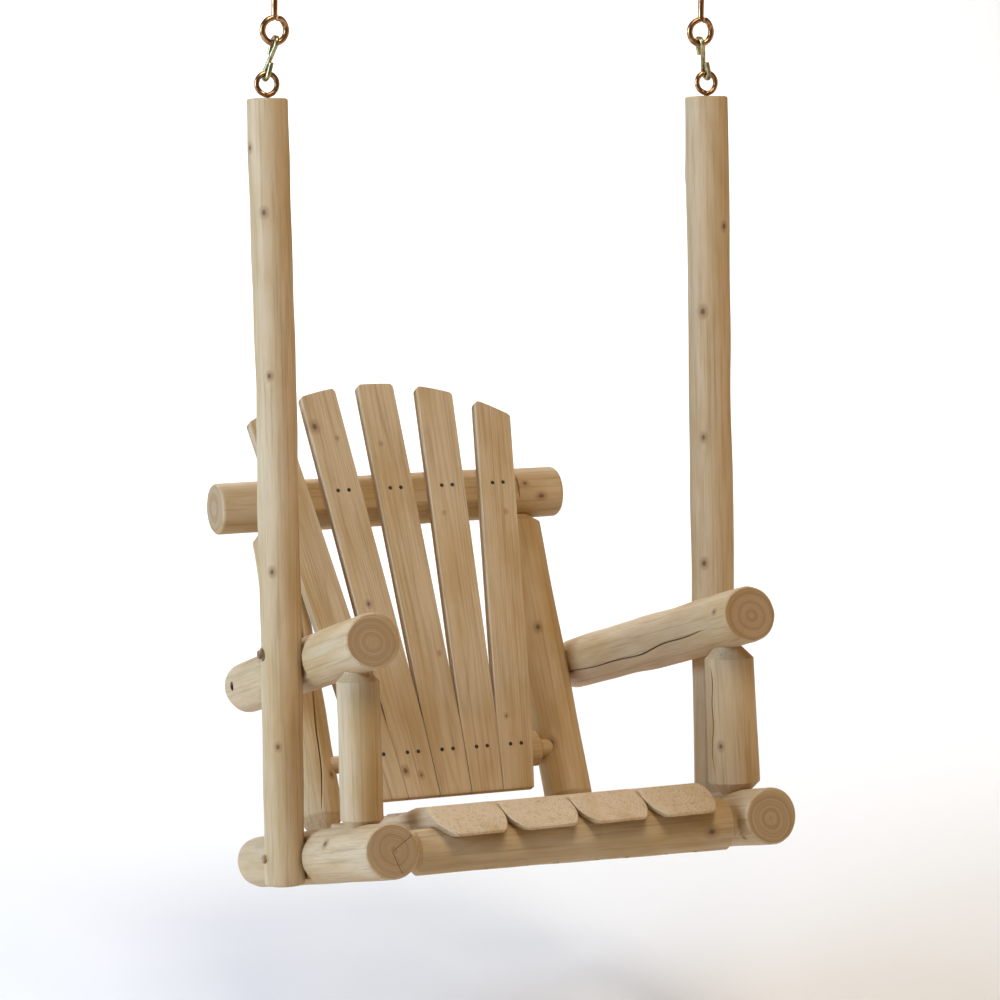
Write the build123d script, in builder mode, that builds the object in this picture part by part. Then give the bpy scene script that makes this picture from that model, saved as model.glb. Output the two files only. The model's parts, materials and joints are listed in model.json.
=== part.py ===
"""Single-seat porch swing made of peeled cedar logs, hung from two screw eyes in a beam.

Two frames are used.  The row frame has +Z up, -Y to the sitter's front, +X to the right of
someone who faces the seat, and its origin midway between the two ceiling screws, in the plane
of the beam's underside.  The chair frame is the joiner's own: x as above, y to the back at
right angles to the hanger posts, z along them, with its origin midway between the front ends
of the side rails.  chair() turns a point of the second into the first, because the empty swing
hangs with its posts leaning back a little under its own weight.
"""

import os
from math import asin, cos, radians, sin, sqrt, tan

from build123d import *

os.makedirs("parts", exist_ok=True)

# ---------------------------------------------------------------- driving sizes, millimetres
# Hardware, from the beam down
ceiling_eye_wire = 10.5
ceiling_eye_outer = 50.0
ceiling_shank_radius = 4.8
ceiling_shank_length = 65.0
ceiling_neck = 4.0
hook_wire = 8.0
hook_bend = 10.0
hook_drop = 47.0
hook_splay = 12.5
hook_tail = 19.0
post_eye_wire = 9.0
post_eye_outer = 43.0
post_eye_neck = 1.0
post_eye_shank = 70.0
post_eye_shank_radius = 4.2
hang_lean = 4.8

# Hanger posts
hanger_x = 387.5
hanger_y = 318.0
hanger_foot = -98.0
hanger_head = 1156.0
hanger_radius = {"left": 32.5, "right": 35.5}
hanger_rounding = 4.0

# Side rails and armrests
rail_x = 327.0
rail_length = 610.0
rail_slope = 10.6
rail_radius = {"left": (44.5, 42.5), "right": (45.5, 43.5)}
rail_saddle = 34.0
arm_x = 326.0
arm_front_y = 65.5
arm_front_z = 318.2
arm_length = 646.0
arm_slope = 13.2
arm_toe = {"left": 1.4, "right": 2.0}
arm_radius = {"left": (44.5, 42.0), "right": (46.5, 44.0)}
arm_saddle = 39.0
arm_rear_saddle = 58.0
end_round = 5.0

# Short posts under the arms
front_post_rail_y = 124.0
front_post_arm_y = 141.0
front_post_radius = {"left": 34.0, "right": 41.0}
front_post_peg = 22.0
front_post_peg_length = 30.0
peg_gap = 12.0

# Cross rails of the seat
front_rail_y = 51.6
front_rail_z = -15.0
front_rail_radius = (35.5, 41.5)
rear_rail_radius = 38.0
cross_peg_radius = 22.0
cross_peg_depth = 30.0
cross_bevel = 13.0
front_rail_right_bevel = 18.0

# Back
back_recline = 24.0
crest_y = 775.0
crest_z = 471.0
crest_shift = -15.0
crest_half = 319.0
crest_radius = 44.5
crest_flat_beyond = 12.0
upright_x = {"left": 233.0, "right": 224.0}
upright_behind = 8.0
upright_radius = {"left": (37.0, 38.5), "right": (41.0, 41.0)}
upright_peg = 21.0
upright_foot_bevel = 32.0
upright_head_bevel = 18.0
upright_peg_depth = 26.0
upright_foot_sink = 4.0
upright_head_sink = 3.0
lower_rail_up = -471.0
lower_rail_forward = 10.0
lower_rail_radius = 30.0
lower_rail_peg = 15.0
lower_rail_peg_depth = 18.0
lower_rail_peg_length = 26.0
lower_rail_bevel = 10.0

# Back slats
slat_width = 66.0
slat_thickness = 18.0
slat_back_offset = 38.0
slat_pitch = 96.5
slat_centre = -19.5
slat_fan_step = 4.0
slat_fan_middle = -1.0
slat_foot = -550.0
slat_taper_start = -425.0
slat_foot_width = 56.6
slat_top_radius = 490.0
slat_top_centre = (-28.0, -292.0)
slat_edge = 2.0
slat_corner = 7.0
slat_count = 5

# Seat slats, half logs with the sawn face up
seat_count = 4
seat_pitch = 121.0
seat_width = 118.0
seat_thick = 50.0
seat_bottom_width = 74.0
seat_top_width = 100.0
seat_foot_slope = (1.2, 0.9)
seat_edge_slope = (1.0, 0.45)
seat_tip_y = -10.0
seat_tip_z = 15.5
seat_tip_thick = 4.0
seat_length = 566.0
seat_nose = 77.0
seat_flat_end = 144.0
seat_scoop_end = 584.0
seat_scoop_depth = 20.0
seat_notch_length = 62.0
seat_notch_edge = 179.0

# Screws and lag screws
screw_shank = 2.1
screw_head = 3.9
screw_head_rim = 0.6
screw_tip = 0.3
slat_screw_spacing = 20.0
slat_screw_length = 46.0
slat_screw_sink = 1.2
crest_screw_up = 3.0
seat_screw_spacing = 52.0
rear_seat_screw_spacing = 26.0
rear_seat_screw_shift = 12.0
rear_seat_screw_top = 48.0
rear_seat_screw_ahead = 4.0
seat_screw_length = 62.0
seat_screw_sink = 2.0
front_screw_length = 88.0
front_screw_sink = 14.0
front_screw_rise = 24.0
lag_radius = 4.0
lag_length = 100.0
lag_across = 12.7
lag_head_height = 5.6
lag_washer_radius = 11.0
lag_washer_thick = 1.6
lag_spot = 3.2
lag_spot_gap = 0.5
lag_tip = 0.4
arm_lag_rise = 16.0
rail_lag_rise = 5.0
upright_screw_shank = 3.0
upright_screw_head = 6.0
upright_screw_length = 92.0
upright_screw_sink = 8.0
upright_screw_y = 652.0

# ---------------------------------------------------------------- where things lie
sides = {"left": -1, "right": 1}
lean_sin = sin(radians(hang_lean))
lean_cos = cos(radians(hang_lean))
recline_sin = sin(radians(back_recline))
recline_cos = cos(radians(back_recline))
rail_fall = tan(radians(rail_slope))
arm_fall = tan(radians(arm_slope))
ceiling_ring = (ceiling_eye_outer - ceiling_eye_wire) / 2
ceiling_ring_z = -ceiling_neck - ceiling_eye_outer / 2
upper_pivot_z = ceiling_ring_z - ceiling_ring
lower_pivot_z = upper_pivot_z - hook_drop
post_ring = (post_eye_outer - post_eye_wire) / 2
post_ring_z = hanger_head + post_eye_neck + post_eye_outer / 2
pivot_height = post_ring_z + post_ring
finished = {}


def chair_direction(x, y, z):
    """A direction of the chair frame, in the row frame."""
    return Vector(x, y * lean_cos + z * lean_sin, z * lean_cos - y * lean_sin)


def chair(x, y, z):
    """A point of the chair frame, in the row frame."""
    return chair_direction(x, y - hanger_y, z - pivot_height) + Vector(0, 0, lower_pivot_z)


def span(start, end):
    """The distance between two chair points."""
    return (chair(*end) - chair(*start)).length


def rail_axis(side, y):
    """The point of a side rail's axis at depth y."""
    return (sides[side] * rail_x, y, -y * rail_fall)


def arm_axis(side, y):
    """The point of an armrest's axis at depth y; the arms toe in towards the back."""
    back = y - arm_front_y
    x = arm_x - back * tan(radians(arm_toe[side]))
    return (sides[side] * x, y, arm_front_z - back * arm_fall)


def back_point(x, up, forward=0.0):
    """A point of the reclined back: up from the crest rail's axis, forward square to the back."""
    y = crest_y + up * recline_sin - forward * recline_cos
    z = crest_z + up * recline_cos + forward * recline_sin
    return (x, y, z)


def upright_axis(side, up):
    """The point of an upright's axis at a distance up the back from the crest rail."""
    return back_point(sides[side] * upright_x[side], up, -upright_behind)


def upright_up(y_offset, fall):
    """How far up the back an upright's axis meets the line z = y_offset - fall * y."""
    y0 = crest_y + upright_behind * recline_cos
    z0 = crest_z - upright_behind * recline_sin
    return (y_offset - fall * y0 - z0) / (recline_cos + fall * recline_sin)


rail_end_y = rail_length * cos(radians(rail_slope))
arm_end_y = arm_front_y + arm_length * cos(radians(arm_slope))
upright_foot = upright_up(0.0, rail_fall)
rear_rail_y = upright_axis("left", upright_foot)[1]


# ---------------------------------------------------------------- ways of making a piece
def turned(start, end, outline):
    """Add a round piece: the outline's (radius, distance from start) points, turned."""
    origin = chair(*start)
    along = (chair(*end) - origin).normalized()
    across = along.cross(chair_direction(0, 1, 0) if abs(along.X) > 0.9 else Vector(1, 0, 0))
    flat = Plane(origin=origin, x_dir=across, z_dir=across.cross(along))
    with BuildSketch(flat) as half_section:
        with BuildLine():
            Polyline((0, outline[0][1]), *outline, (0, outline[-1][1]), close=True)
        make_face()
    revolve(half_section.sketch, axis=Axis(origin, along))


def plain_log(start, end, first, last):
    """Add a straight log, tapering from one radius to the other."""
    turned(start, end, [(first, 0), (last, span(start, end))])


def pegged_log(start, end, radii, peg, pegs, bevels):
    """Add a log whose two ends are bevelled down to pegs; start and end are the pegs' ends."""
    length = span(start, end)
    low = pegs[0] + bevels[0]
    high = length - pegs[1] - bevels[1]
    outline = [(peg, 0), (peg, pegs[0]), (radii[0], low), (radii[1], high)]
    turned(start, end, outline + [(peg, length - pegs[1]), (peg, length)])


def take_away(*names):
    """Cut the room for pieces that are already finished."""
    for name in names:
        add(finished[name], mode=Mode.SUBTRACT)


def keep(builder, name):
    """Label a finished piece and write it to its own file."""
    builder.part.label = name
    export_step(builder.part, f"parts/{name}.step")
    finished[name] = builder.part


def toward(start, end, distance):
    """The chair point at a distance from start on the way to end."""
    share = distance / span(start, end)
    return tuple(a + (b - a) * share for a, b in zip(start, end))


def screw(start, end, shank, head, sink):
    """Add a countersunk wood screw whose head lies a little below start."""
    length = span(start, end)
    under = sink + screw_head_rim
    outline = [(head, sink), (head, under), (shank, under + head - shank)]
    turned(start, end, outline + [(shank, length - 2 * shank), (screw_tip, length)])


def screw_hole(start, end, shank, head, sink):
    """The same screw's hole, which reaches out past the surface at start."""
    length = span(start, end)
    under = sink + screw_head_rim
    outline = [(head, -head), (head, under), (shank, under + head - shank)]
    turned(start, end, outline + [(shank, length - 2 * shank), (screw_tip, length)])


# ---------------------------------------------------------------- where the screws go
def slat_x(number, up):
    """The centre line of back slat 1 to 5, at a distance up the back."""
    place = number - (slat_count + 1) / 2
    lean = tan(radians(slat_fan_middle + place * slat_fan_step))
    return slat_centre + place * slat_pitch + lean * up


back_screws = []
for number in range(1, slat_count + 1):
    for up in (crest_screw_up, lower_rail_up):
        for step in (-0.5, 0.5):
            x = slat_x(number, up) + step * slat_screw_spacing
            face = slat_back_offset + slat_thickness
            back_screws.append((back_point(x, up, face), back_point(x, up, face - slat_screw_length)))


def seat_point(x, along, height):
    """A point of a seat slat: along it from the tip, and up from its underside."""
    s, c = sin(radians(rail_slope)), cos(radians(rail_slope))
    return (x, seat_tip_y + along * c + height * s, seat_tip_z - along * s + height * c)


seat_centres = [(k - (seat_count - 1) / 2) * seat_pitch for k in range(seat_count)]
front_along = (front_rail_y - seat_tip_y) / cos(radians(rail_slope))
rear_along = (rear_rail_y - seat_tip_y) / cos(radians(rail_slope)) - rear_seat_screw_ahead
front_screw_foot = front_screw_rise - 2 * front_rail_radius[1]
front_seat_screws = []
rear_seat_screws = []
for centre in seat_centres:
    for step in (-0.5, 0.5):
        x = centre + step * seat_screw_spacing
        bottom = seat_point(x, front_along, front_screw_foot)
        top = seat_point(x, front_along, front_screw_foot + front_screw_length)
        front_seat_screws.append((bottom, top))
        shift = rear_seat_screw_shift * ((centre < -seat_pitch) - (centre > seat_pitch))
        x = centre + step * rear_seat_screw_spacing + shift
        top = seat_point(x, rear_along, rear_seat_screw_top)
        bottom = seat_point(x, rear_along, rear_seat_screw_top - seat_screw_length)
        rear_seat_screws.append((top, bottom))

lags = []
for side, sign in sides.items():
    outer = sign * (hanger_x + hanger_radius[side] - lag_spot)
    for axis, rise in ((arm_axis, arm_lag_rise), (rail_axis, rail_lag_rise)):
        z = axis(side, hanger_y)[2] + rise
        lags.append(((outer, hanger_y, z), (outer - sign * lag_length, hanger_y, z)))

upright_screws = []
for side, sign in sides.items():
    centre = arm_axis(side, upright_screw_y)
    outer = sign * (abs(centre[0]) + arm_radius[side][1])
    inner = (outer - sign * upright_screw_length, upright_screw_y, centre[2])
    upright_screws.append(((outer, upright_screw_y, centre[2]), inner))

with BuildPart() as back_slat_screws:
    for start, end in back_screws:
        screw(start, end, screw_shank, screw_head, slat_screw_sink)
keep(back_slat_screws, "back_slat_screws")

with BuildPart() as back_slat_holes:
    for start, end in back_screws:
        screw_hole(start, end, screw_shank, screw_head, slat_screw_sink)
finished["back_slat_holes"] = back_slat_holes.part

with BuildPart() as seat_slat_screws:
    for start, end in rear_seat_screws:
        screw(start, end, screw_shank, screw_head, seat_screw_sink)
    for start, end in front_seat_screws:
        screw(start, end, screw_shank, screw_head, front_screw_sink)
keep(seat_slat_screws, "seat_slat_screws")

with BuildPart() as seat_slat_holes:
    for start, end in rear_seat_screws:
        screw_hole(start, end, screw_shank, screw_head, seat_screw_sink)
    for start, end in front_seat_screws:
        screw_hole(start, end, screw_shank, screw_head, front_screw_sink)
finished["seat_slat_holes"] = seat_slat_holes.part

with BuildPart() as arm_screws:
    for start, end in upright_screws:
        screw(start, end, upright_screw_shank, upright_screw_head, upright_screw_sink)
keep(arm_screws, "arm_screws")

with BuildPart() as arm_screw_holes:
    for start, end in upright_screws:
        screw_hole(start, end, upright_screw_shank, upright_screw_head, upright_screw_sink)
finished["arm_screw_holes"] = arm_screw_holes.part

# Lag screws with hexagon heads, on round washers let into a shallow spot face
with BuildPart() as lag_screws:
    for start, end in lags:
        under = toward(start, end, -lag_washer_thick)
        face = Plane(origin=chair(*under), x_dir=(0, 1, 0), z_dir=chair(*start) - chair(*end))
        with BuildSketch(face):
            RegularPolygon(lag_across / 2, 6, major_radius=False)
        extrude(amount=lag_head_height)
        reach = span(start, end)
        outline = [(lag_radius, -lag_washer_thick), (lag_radius, reach - 2 * lag_radius)]
        turned(start, end, outline + [(lag_tip, reach)])
keep(lag_screws, "lag_screws")

with BuildPart() as lag_washers:
    for start, end in lags:
        turned(start, end, [(lag_washer_radius, -lag_washer_thick), (lag_washer_radius, 0)])
        turned_hole = Plane(origin=chair(*start), z_dir=chair(*start) - chair(*end))
        with BuildSketch(turned_hole):
            Circle(lag_radius)
        extrude(amount=lag_washer_thick, mode=Mode.SUBTRACT)
keep(lag_washers, "lag_washers")

with BuildPart() as lag_holes:
    for start, end in lags:
        reach = span(start, end)
        rim = lag_washer_radius + lag_spot_gap
        outline = [(rim, -2 * lag_washer_radius), (rim, 0), (lag_radius, 0)]
        turned(start, end, outline + [(lag_radius, reach - 2 * lag_radius), (lag_tip, reach)])
finished["lag_holes"] = lag_holes.part

# ---------------------------------------------------------------- ceiling eyes and hooks
for side, sign in sides.items():
    top_x = sign * (hanger_x - hook_splay)

    # Screw eye in the beam: a ring bent from wire, a plain neck, and a shank up in the wood
    with BuildPart() as ceiling_eye:
        with Locations(Plane(origin=(top_x, 0, ceiling_ring_z), z_dir=(0, 1, 0))):
            Torus(ceiling_ring, ceiling_eye_wire / 2)
        on_axis = (Align.CENTER, Align.CENTER, Align.MIN)
        neck_foot = ceiling_ring_z + ceiling_ring
        with Locations((top_x, 0, neck_foot)):
            Cylinder(ceiling_eye_wire / 2, -neck_foot, align=on_axis)
        with Locations((top_x, 0, 0)):
            Cylinder(ceiling_shank_radius, ceiling_shank_length, align=on_axis)
    keep(ceiling_eye, f"ceiling_eye_{side}")

    # S-hook: two bends joined by a slanting leg, open to the back above and to the front below
    hook_length = sqrt(hook_drop**2 + hook_splay**2)
    slant = asin(2 * hook_bend / hook_length)
    up = Vector(-sign * hook_splay, 0, hook_drop).normalized()
    hook_plane = Plane(
        origin=(top_x, 0, upper_pivot_z), x_dir=(0, 1, 0), z_dir=Vector(0, 1, 0).cross(up)
    )
    leg_top = (-hook_bend * cos(slant), -hook_bend * sin(slant))
    leg_foot = (hook_bend * cos(slant), hook_bend * sin(slant) - hook_length)
    top_middle = (-hook_bend * sin(slant / 2), hook_bend * cos(slant / 2))
    foot_middle = (hook_bend * sin(slant / 2), -hook_bend * cos(slant / 2) - hook_length)
    with BuildPart() as s_hook:
        with BuildLine(hook_plane) as hook_path:
            tail = Line((hook_bend, -hook_tail), (hook_bend, 0))
            ThreePointArc((hook_bend, 0), top_middle, leg_top)
            Line(leg_top, leg_foot)
            ThreePointArc(leg_foot, foot_middle, (-hook_bend, -hook_length))
            Line((-hook_bend, -hook_length), (-hook_bend, hook_tail - hook_length))
        with BuildSketch(Plane(origin=tail @ 0, z_dir=tail % 0)):
            Circle(hook_wire / 2)
        sweep()
    keep(s_hook, f"s_hook_{side}")

    # Screw eye in the head of the hanger post
    ring_centre = chair(sign * hanger_x, hanger_y, post_ring_z)
    with BuildPart() as post_eye:
        with Locations(Plane(origin=ring_centre, z_dir=chair_direction(0, 1, 0))):
            Torus(post_ring, post_eye_wire / 2)
        with Locations(Plane(origin=ring_centre, z_dir=chair_direction(0, 0, -1))):
            with Locations((0, 0, post_ring)):
                Cylinder(post_eye_shank_radius, post_eye_shank, align=on_axis)
    keep(post_eye, f"post_eye_{side}")

    # Hanger post: a plain pole with eased ends, bored for the eye and the two lag screws
    foot = (sign * hanger_x, hanger_y, hanger_foot)
    head = (sign * hanger_x, hanger_y, hanger_head)
    radius = hanger_radius[side]
    with BuildPart() as hanger_post:
        plain_log(foot, head, radius, radius)
        fillet(hanger_post.edges().filter_by(GeomType.CIRCLE), hanger_rounding)
        take_away("lag_holes", f"post_eye_{side}")
    keep(hanger_post, f"hanger_post_{side}")

# ---------------------------------------------------------------- pegged members
# Lower back rail, pegged into the uprights and sawn flat for the slats
lower_left = back_point(-upright_x["left"] + lower_rail_peg_depth, lower_rail_up, lower_rail_forward)
lower_right = back_point(upright_x["right"] - lower_rail_peg_depth, lower_rail_up, lower_rail_forward)
slat_plane = Plane(
    origin=chair(*back_point(0, 0, slat_back_offset)),
    x_dir=(1, 0, 0),
    z_dir=chair_direction(0, -recline_cos, recline_sin),
)
with BuildPart() as lower_back_rail:
    pegged_log(
        lower_left,
        lower_right,
        (lower_rail_radius, lower_rail_radius),
        lower_rail_peg,
        (lower_rail_peg_length, lower_rail_peg_length),
        (lower_rail_bevel, lower_rail_bevel),
    )
    with BuildSketch(slat_plane):
        with Locations((0, lower_rail_up)):
            Rectangle(2 * crest_half, 3 * lower_rail_radius)
    extrude(amount=lower_rail_radius, mode=Mode.SUBTRACT)
    take_away("back_slat_holes")
keep(lower_back_rail, "lower_back_rail")

for side, sign in sides.items():
    # Short post between the side rail and the armrest, its bevelled ends pegged into both
    foot = rail_axis(side, front_post_rail_y)
    head = arm_axis(side, front_post_arm_y)
    radius = front_post_radius[side]
    bevel = radius - front_post_peg
    start = toward(foot, head, peg_gap)
    end = toward(head, foot, peg_gap)
    pegs = (front_post_peg_length, front_post_peg_length)
    with BuildPart() as front_post:
        pegged_log(start, end, (radius, radius), front_post_peg, pegs, (bevel, bevel))
    keep(front_post, f"front_post_{side}")

    # Back upright, from the rear rail to the crest rail
    foot = upright_axis(side, upright_foot + peg_gap)
    head = upright_axis(side, -crest_radius + upright_peg_depth)
    with BuildPart() as back_upright:
        pegged_log(
            foot,
            head,
            upright_radius[side],
            upright_peg,
            (rear_rail_radius - peg_gap - upright_foot_sink, upright_peg_depth - upright_head_sink),
            (upright_foot_bevel, upright_head_bevel),
        )
        take_away("arm_screw_holes", "lower_back_rail")
    keep(back_upright, f"back_upright_{side}")

# Cross rails, pegged into the side rails
cross_half = rail_x - rail_radius["left"][0] + cross_peg_depth
with BuildPart() as front_rail:
    pegged_log(
        (-cross_half, front_rail_y, front_rail_z),
        (cross_half, front_rail_y, front_rail_z),
        front_rail_radius,
        cross_peg_radius,
        (cross_peg_depth, cross_peg_depth),
        (cross_bevel, front_rail_right_bevel),
    )
    take_away("seat_slat_holes")
keep(front_rail, "front_rail")

rear_rail_z = rail_axis("left", rear_rail_y)[2]
with BuildPart() as rear_rail:
    pegged_log(
        (-cross_half, rear_rail_y, rear_rail_z),
        (cross_half, rear_rail_y, rear_rail_z),
        (rear_rail_radius, rear_rail_radius),
        cross_peg_radius,
        (cross_peg_depth, cross_peg_depth),
        (cross_bevel, cross_bevel),
    )
    take_away("back_upright_left", "back_upright_right", "seat_slat_holes")
keep(rear_rail, "rear_rail")

# ---------------------------------------------------------------- logs that are let in
for side, sign in sides.items():
    post_face = hanger_x - hanger_radius[side]

    # Side rail: rounded ends, a flat-bottomed seat for the hanger post, holes for the pegs
    with BuildPart() as side_rail:
        plain_log(rail_axis(side, 0), rail_axis(side, rail_end_y), *rail_radius[side])
        fillet(side_rail.edges().filter_by(GeomType.CIRCLE), end_round)
        seat_centre = rail_axis(side, hanger_y)
        saddle = Plane(
            origin=chair(sign * post_face, hanger_y, seat_centre[2]),
            x_dir=chair_direction(0, 1, -rail_fall),
            z_dir=(sign, 0, 0),
        )
        with BuildSketch(saddle):
            Rectangle(2 * rail_saddle, 4 * end_round + 2 * rail_radius[side][0])
        extrude(amount=rail_radius[side][0], mode=Mode.SUBTRACT)
        take_away("lag_holes", f"front_post_{side}", "front_rail", "rear_rail")
    keep(side_rail, f"side_rail_{side}")

    # Armrest: the same, with a second flat at the back of its inner side for the upright
    with BuildPart() as armrest:
        plain_log(arm_axis(side, arm_front_y), arm_axis(side, arm_end_y), *arm_radius[side])
        fillet(armrest.edges().filter_by(GeomType.CIRCLE), end_round)
        seat_centre = arm_axis(side, hanger_y)
        saddle = Plane(
            origin=chair(sign * post_face, hanger_y, seat_centre[2]),
            x_dir=chair_direction(0, 1, -arm_fall),
            z_dir=(sign, 0, 0),
        )
        with BuildSketch(saddle):
            Rectangle(2 * arm_saddle, 4 * end_round + 2 * arm_radius[side][0])
        extrude(amount=arm_radius[side][0], mode=Mode.SUBTRACT)
        rear_centre = arm_axis(side, arm_end_y)
        rear_saddle = Plane(
            origin=chair(sign * (upright_x[side] + upright_radius[side][1]), arm_end_y, rear_centre[2]),
            x_dir=chair_direction(0, -1, arm_fall),
            z_dir=(-sign, 0, 0),
        )
        with BuildSketch(rear_saddle):
            with Locations((arm_rear_saddle / 2 - end_round, 0)):
                Rectangle(arm_rear_saddle + 2 * end_round, 4 * end_round + 2 * arm_radius[side][0])
        extrude(amount=arm_radius[side][0], mode=Mode.SUBTRACT)
        take_away("lag_holes", f"front_post_{side}", "arm_screw_holes")
    keep(armrest, f"armrest_{side}")

# Crest rail, sawn flat in front where the slats lie
with BuildPart() as crest_rail:
    plain_log(
        back_point(crest_shift - crest_half, 0),
        back_point(crest_shift + crest_half, 0),
        crest_radius,
        crest_radius,
    )
    fillet(crest_rail.edges().filter_by(GeomType.CIRCLE), end_round)
    flat_left = slat_x(1, 0) - slat_width / 2 - crest_flat_beyond
    flat_right = slat_x(slat_count, 0) + slat_width / 2 + crest_flat_beyond
    with BuildSketch(slat_plane):
        with Locations(((flat_left + flat_right) / 2, 0)):
            Rectangle(flat_right - flat_left, 3 * crest_radius)
    extrude(amount=crest_radius, mode=Mode.SUBTRACT)
    take_away("back_upright_left", "back_upright_right", "back_slat_holes")
keep(crest_rail, "crest_rail")

# ---------------------------------------------------------------- back slats
for number in range(1, slat_count + 1):
    top = slat_top_centre[1] + slat_top_radius + slat_width
    corners = []
    for up, width in ((slat_foot, slat_foot_width), (slat_taper_start, slat_width), (top, slat_width)):
        corners.append((slat_x(number, up), up, width / 2))
    left_edge = [(x - half, up) for x, up, half in corners]
    right_edge = [(x + half, up) for x, up, half in reversed(corners)]
    with BuildPart() as back_slat:
        with BuildSketch(slat_plane) as outline:
            with BuildLine():
                Polyline(*left_edge, *right_edge, close=True)
            make_face()
            with Locations(slat_top_centre):
                Circle(slat_top_radius, mode=Mode.INTERSECT)
            fillet(outline.vertices().sort_by(Axis.Y)[-2:], slat_corner)
        extrude(amount=slat_thickness)
        front = back_slat.faces().sort_by(Axis(slat_plane.origin, slat_plane.z_dir))[-1]
        fillet(front.edges(), slat_edge)
        take_away("back_slat_holes")
    keep(back_slat, f"back_slat_{number}")

# ---------------------------------------------------------------- seat slats
for number, centre in enumerate(seat_centres, start=1):
    section_plane = Plane(
        origin=chair(*seat_point(centre, 0, 0)),
        x_dir=(1, 0, 0),
        z_dir=chair(*seat_point(centre, 0, 0)) - chair(*seat_point(centre, 1, 0)),
    )
    side_plane = Plane(
        origin=chair(*seat_point(centre, 0, 0)),
        x_dir=chair(*seat_point(centre, 1, 0)) - chair(*seat_point(centre, 0, 0)),
        z_dir=(1, 0, 0),
    )
    scoop_middle = ((seat_flat_end + seat_scoop_end) / 2, seat_thick - seat_scoop_depth)
    scoop_half = (seat_scoop_end - seat_flat_end) / 2
    scoop_sag = seat_scoop_depth * (1 - ((seat_length - scoop_middle[0]) / scoop_half) ** 2)
    with BuildPart() as seat_slat:
        with BuildSketch(section_plane):
            with BuildLine():
                b, w, t = seat_bottom_width / 2, seat_width / 2, seat_top_width / 2
                out, rise = seat_foot_slope
                back, lift = seat_edge_slope
                right = ((b, 0), (w, seat_thick / 2), (t, seat_thick))
                left = ((-t, seat_thick), (-w, seat_thick / 2), (-b, 0))
                Line((-b, 0), (b, 0))
                Spline(*right, tangents=((out, rise), (-back, lift)))
                Line((t, seat_thick), (-t, seat_thick))
                Spline(*left, tangents=((-back, -lift), (out, -rise)))
            make_face()
        extrude(amount=-seat_length)
        with BuildSketch(side_plane):
            with BuildLine():
                Polyline(
                    (seat_length, seat_thick - scoop_sag),
                    (seat_length, 0),
                    (0, 0),
                    (0, seat_tip_thick),
                    (seat_nose, seat_thick),
                    (seat_flat_end, seat_thick),
                )
                ThreePointArc(
                    (seat_flat_end, seat_thick),
                    (scoop_middle[0], scoop_middle[1]),
                    (seat_length, seat_thick - scoop_sag),
                )
            make_face()
        extrude(amount=seat_width, both=True, mode=Mode.INTERSECT)
        if abs(centre) > seat_pitch:
            sign = 1 if centre > 0 else -1
            notch = Plane(
                origin=chair(*seat_point(sign * seat_notch_edge, seat_length, 0)),
                x_dir=(sign, 0, 0),
                z_dir=chair(*seat_point(0, 0, 1)) - chair(*seat_point(0, 0, 0)),
            )
            with BuildSketch(notch):
                Rectangle(seat_width, 2 * seat_notch_length, align=(Align.MIN, Align.CENTER))
            extrude(amount=2 * seat_thick, both=True, mode=Mode.SUBTRACT)
        take_away("front_rail", "rear_rail", "seat_slat_holes")
    keep(seat_slat, f"seat_slat_{number}")
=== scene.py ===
"""Porch swing of peeled cedar logs, hung from two screw eyes by S-hooks.  Sizes are in metres."""
import json
import bmesh
import bpy
import numpy as np
from mathutils import Matrix, Vector
from mathutils.geometry import convex_hull_2d


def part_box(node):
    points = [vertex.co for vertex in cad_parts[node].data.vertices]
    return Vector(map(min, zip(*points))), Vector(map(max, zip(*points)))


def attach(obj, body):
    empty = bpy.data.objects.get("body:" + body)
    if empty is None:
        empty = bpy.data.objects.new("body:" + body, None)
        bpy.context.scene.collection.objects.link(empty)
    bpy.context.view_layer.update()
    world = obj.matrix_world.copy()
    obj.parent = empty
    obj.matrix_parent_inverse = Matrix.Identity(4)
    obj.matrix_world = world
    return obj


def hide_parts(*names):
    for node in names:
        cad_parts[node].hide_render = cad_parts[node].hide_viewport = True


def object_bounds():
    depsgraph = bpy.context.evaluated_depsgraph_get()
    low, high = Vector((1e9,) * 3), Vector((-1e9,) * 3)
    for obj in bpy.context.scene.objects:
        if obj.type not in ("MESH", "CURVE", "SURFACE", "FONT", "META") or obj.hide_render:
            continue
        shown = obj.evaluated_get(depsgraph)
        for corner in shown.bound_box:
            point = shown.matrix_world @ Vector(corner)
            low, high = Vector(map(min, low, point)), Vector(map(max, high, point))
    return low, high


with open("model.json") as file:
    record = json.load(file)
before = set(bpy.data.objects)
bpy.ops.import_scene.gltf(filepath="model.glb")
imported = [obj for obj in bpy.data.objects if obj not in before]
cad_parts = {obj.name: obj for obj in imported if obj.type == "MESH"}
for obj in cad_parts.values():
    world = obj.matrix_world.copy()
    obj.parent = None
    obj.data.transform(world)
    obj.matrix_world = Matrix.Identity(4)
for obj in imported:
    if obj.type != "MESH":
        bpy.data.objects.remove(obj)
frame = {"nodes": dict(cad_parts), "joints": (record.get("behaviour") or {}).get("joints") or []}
cad_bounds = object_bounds()

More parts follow.
